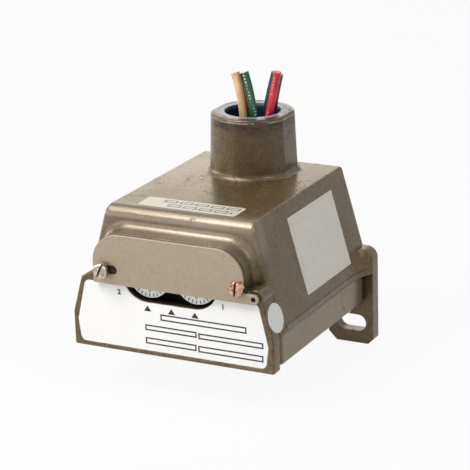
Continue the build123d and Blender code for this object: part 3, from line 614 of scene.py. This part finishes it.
def dial_print(number):
    # Ticks round the rim and, inside them, numerals from 0 to 50.
    low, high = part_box(f"dial_{number}")
    centre = (low + high) / 2
    radius = (high.x - low.x) / 2
    tick_count, numeral_count = 30, 6
    half_tick = 0.16 * MM
    tick = rectangle(-half_tick, half_tick, radius - 1.5 * MM, radius - 0.35 * MM)
    numeral_radius = radius - 2.9 * MM
    numeral_height, numeral_weight = 1.4 * MM, 0.05 * MM
    bm = bmesh.new()
    for i in range(tick_count):
        plane = front_frame(low.y, centre.x, centre.z, 2 * math.pi * i / tick_count)
        prism(bm, tick, plane)
    for i in range(numeral_count):
        turn = math.pi - 2 * math.pi * i / numeral_count
        plane = front_frame(low.y, centre.x, centre.z, turn)
        plane = plane @ Matrix.Translation((0, numeral_radius, 0))
        numeral(bm, str(10 * i), numeral_height, numeral_weight, plane)
    piece(f"dial_{number}_print", bm, INK, f"dial_{number}_set")


label_print()
top_label_print()
for number in (1, 2):
    dial_print(number)


# Leads: short stiff stubs standing out of the potting, cut off square
LEAD_DIAMETER = 2.7 * MM
# Each lead in millimetres: distance behind the hub's axis, x in the potting, x at the
# waist, x at the end and the end's rise above the hub
LEADS = {
    "tan": (-3.2, -2.1, -2.2, -5.1, 13.8),
    "orange": (-0.3, -1.9, -2.7, -6.2, 13.1),
    "green": (-2.5, 2.0, 1.6, -1.4, 14.2),
    "black": (2.6, -1.6, -2.6, -5.1, 12.3),
    "red": (-2.0, 5.2, 8.5, 11.1, 15.2),
    "violet": (1.2, 3.2, 5.6, 8.5, 14.0),
    "blue": (4.0, 4.4, 6.7, 8.9, 12.7),
}
# Each lead stands upright as far as this height, and its waist is above the hub
UPRIGHT_TOP_Z = below_top(10.0)
WAIST_Z = hub_top_z + 4.0 * MM
LEAD_COLOURS = {
    "tan": (0.74, 0.46, 0.24), "orange": (0.52, 0.22, 0.08), "black": (0.010, 0.010, 0.010),
    "green": (0.012, 0.125, 0.060), "violet": (0.022, 0.020, 0.038),
    "red": (0.66, 0.012, 0.040), "blue": (0.016, 0.020, 0.050),
}
LEAD_MARKS = {"green": (0.62, 0.74, 0.66), "red": (0.80, 0.28, 0.16)}


def lead_points(name):
    back, foot_x, waist_x, end_x, end_rise = (value * MM for value in LEADS[name])
    y = HUB_Y + back
    return [
        Vector((foot_x, y, potting_low.z)), Vector((foot_x, y, UPRIGHT_TOP_Z)),
        Vector((waist_x, y, WAIST_Z)), Vector((end_x, y, hub_top_z + end_rise)),
    ]


def lead_dashes(m, waist, end):
    # Short printed dashes in a row along the front of the lead.
    x, y, z = (m.axis(name) for name in "XYZ")
    slope = (end.x - waist.x) / (end.z - waist.z)
    dash_pitch = 1.15 * MM
    middle = m.maths("ADD", m.times(m.maths("SUBTRACT", z, waist.z), slope), waist.x - 0.15 * MM)
    strip = m.level(m.maths("ABSOLUTE", m.maths("SUBTRACT", x, middle)),
                    0.30 * MM, 0.45 * MM, 1.0, 0.0)
    wave = m.maths("SINE", m.times(z, 2 * math.pi / dash_pitch))
    dashes = m.times(strip, m.level(wave, -0.1, 0.5, 0.0, 1.0))
    dashes = m.times(dashes, m.level(y, waist.y - 0.2 * MM, waist.y, 1.0, 0.0))
    return m.times(dashes, m.level(m.noise(330.0, 2.0), 0.42, 0.52, 0.0, 1.0))


def lead_material(name):
    m = Nodes(f"lead_{name}_jacket")
    colour = LEAD_COLOURS[name]
    waist, end = lead_points(name)[2:]
    grain = m.noise(60.0, 3.0, 0.5, 0.0, m.stretched(14.0, 14.0, 1.0))
    pale = tuple(min(1.0, c * 1.25 + 0.02) for c in colour)
    dark = tuple(c * 0.75 for c in colour)
    jacket = m.ramp(grain, [(0.35, dark), (0.5, colour), (0.68, pale)])
    if name in LEAD_MARKS:
        jacket = m.mix(lead_dashes(m, waist, end), jacket, LEAD_MARKS[name])
    # The bare end of the conductor in the cut face
    away = m.add("ShaderNodeVectorMath", operation="DISTANCE")
    m.link(m.place(), away.inputs[0])
    away.inputs[1].default_value = end
    core_radius, soft = 0.76 * MM, 0.04 * MM
    core = m.level(away.outputs["Value"], core_radius - soft, core_radius + soft, 1.0, 0.0)
    m.colour(m.mix(core, jacket, (0.55, 0.30, 0.18)))
    m.rough(0.32)
    m.bump(grain, 0.1, 0.08 * MM)
    return m.mat


def lead(name):
    points = lead_points(name)
    curve = bpy.data.curves.new(f"lead_{name}_wire", "CURVE")
    curve.dimensions = "3D"
    curve.bevel_depth = LEAD_DIAMETER / 2
    curve.bevel_resolution = 8
    curve.resolution_u = 16
    curve.use_fill_caps = True
    spline = curve.splines.new("NURBS")
    spline.points.add(len(points) - 1)
    for point, place in zip(spline.points, points):
        point.co = (*place, 1.0)
    spline.order_u = 3
    spline.use_endpoint_u = True
    curve.materials.append(lead_material(name))
    obj = add_object(f"lead_{name}_wire", curve)
    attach(obj, "housing")
    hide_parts(f"lead_{name}")


for name in LEADS:
    lead(name)


# Floor, light and camera
def stage_floor():
    # White to the camera and to what mirrors it, and grey to the light that it sends up.
    half_size = 4.0
    seen_white = 0.93
    floor_z = cad_box[0][2] - 0.2 * MM
    bm = bmesh.new()
    corners = rectangle(-half_size, half_size, -half_size, half_size)
    bm.faces.new([bm.verts.new((x, y, floor_z)) for x, y in corners])
    mesh = bpy.data.meshes.new("floor")
    bm.to_mesh(mesh)
    bm.free()
    m = Nodes("floor_white")
    m.colour((0.70, 0.70, 0.70))
    m.rough(0.9)
    glow = m.add("ShaderNodeEmission")
    glow.inputs["Color"].default_value = (1.0, 1.0, 1.0, 1.0)
    seen = m.add("ShaderNodeLightPath")
    mixer = m.add("ShaderNodeMixShader")
    shown = m.maths("MAXIMUM", seen.outputs["Is Camera Ray"], seen.outputs["Is Glossy Ray"])
    m.link(m.times(shown, seen_white), mixer.inputs["Fac"])
    m.link(m.shader.outputs["BSDF"], mixer.inputs[1])
    m.link(glow.outputs["Emission"], mixer.inputs[2])
    m.link(mixer.outputs["Shader"], m.tree.nodes["Material Output"].inputs["Surface"])
    mesh.materials.append(m.mat)
    add_object("floor", mesh)


def world_light():
    # A weak fill light, seen as plain white by the camera and in reflections.
    world = bpy.data.worlds.new("studio")
    bpy.context.scene.world = world
    world.use_nodes = True
    tree = world.node_tree
    tree.nodes.clear()
    out = tree.nodes.new("ShaderNodeOutputWorld")
    seen = tree.nodes.new("ShaderNodeLightPath")
    shown = tree.nodes.new("ShaderNodeMath")
    shown.operation = "MAXIMUM"
    tree.links.new(seen.outputs["Is Camera Ray"], shown.inputs[0])
    tree.links.new(seen.outputs["Is Glossy Ray"], shown.inputs[1])
    fill = tree.nodes.new("ShaderNodeBackground")
    fill.inputs["Color"].default_value = (1.0, 0.99, 0.97, 1.0)
    fill.inputs["Strength"].default_value = 0.23
    white = tree.nodes.new("ShaderNodeBackground")
    white.inputs["Color"].default_value = (1.0, 1.0, 1.0, 1.0)
    white.inputs["Strength"].default_value = 1.0
    mixer = tree.nodes.new("ShaderNodeMixShader")
    tree.links.new(shown.outputs[0], mixer.inputs["Fac"])
    tree.links.new(fill.outputs[0], mixer.inputs[1])
    tree.links.new(white.outputs[0], mixer.inputs[2])
    tree.links.new(mixer.outputs[0], out.inputs["Surface"])


def lamp(name, place, aim, size, power, colour=(1.0, 1.0, 1.0), sheen_only=False):
    data = bpy.data.lights.new(name, "AREA")
    data.shape = "RECTANGLE"
    data.size, data.size_y = size
    data.energy = power
    data.color = colour
    obj = add_object(name, data)
    obj.visible_diffuse = not sheen_only
    obj.location = place
    away = Vector(place) - Vector(aim)
    obj.rotation_euler = away.to_track_quat("Z", "Y").to_euler()


def camera():
    # Solved from the photograph's straight edges.
    place = (0.32905, -0.6647, 0.2716)
    yaw, pitch, roll = (math.radians(a) for a in (27.41, 18.2, -1.63))
    photo_width = 470
    focal_pixels = 2139.8
    forward = Vector((-math.sin(yaw) * math.cos(pitch), math.cos(yaw) * math.cos(pitch),
                      -math.sin(pitch)))
    right = Vector((math.cos(yaw), math.sin(yaw), 0.0))
    up = right.cross(forward)
    rolled_right = right * math.cos(roll) + up * math.sin(roll)
    rolled_up = up * math.cos(roll) - right * math.sin(roll)
    data = bpy.data.cameras.new("camera")
    data.sensor_width = 36.0
    data.lens = focal_pixels / photo_width * data.sensor_width
    obj = add_object("camera", data)
    turned = Matrix((rolled_right, rolled_up, -forward)).transposed().to_4x4()
    obj.matrix_world = Matrix.Translation(place) @ turned
    bpy.context.scene.camera = obj


stage_floor()
world_light()
MIDDLE = (0.0, -0.04, 0.03)
WARM = (1.0, 0.97, 0.92)
lamp("key", (-0.30, -0.45, 0.70), MIDDLE, (0.4, 0.4), 4.9)
lamp("front", (-0.55, -0.80, 0.25), MIDDLE, (0.5, 0.6), 2.4)
lamp("side", (0.62, -0.30, 0.58), MIDDLE, (0.3, 0.3), 1.2)
lamp("back", (-0.46, 0.80, 0.30), (0.0, -0.04, 0.05), (0.7, 0.35), 1.05, (1.0, 0.88, 0.70))
# These two light only what mirrors them, so that the white label keeps its tone
lamp("sheen", (-0.32, -0.20, 0.73), MIDDLE, (0.55, 0.5), 5.0, WARM, sheen_only=True)
lamp("left_sheen", (-0.80, -0.05, 0.14), (0.0, -0.03, 0.06), (0.4, 0.24), 1.3, WARM,
     sheen_only=True)
camera()
bpy.context.scene.view_settings.view_transform = "Standard"
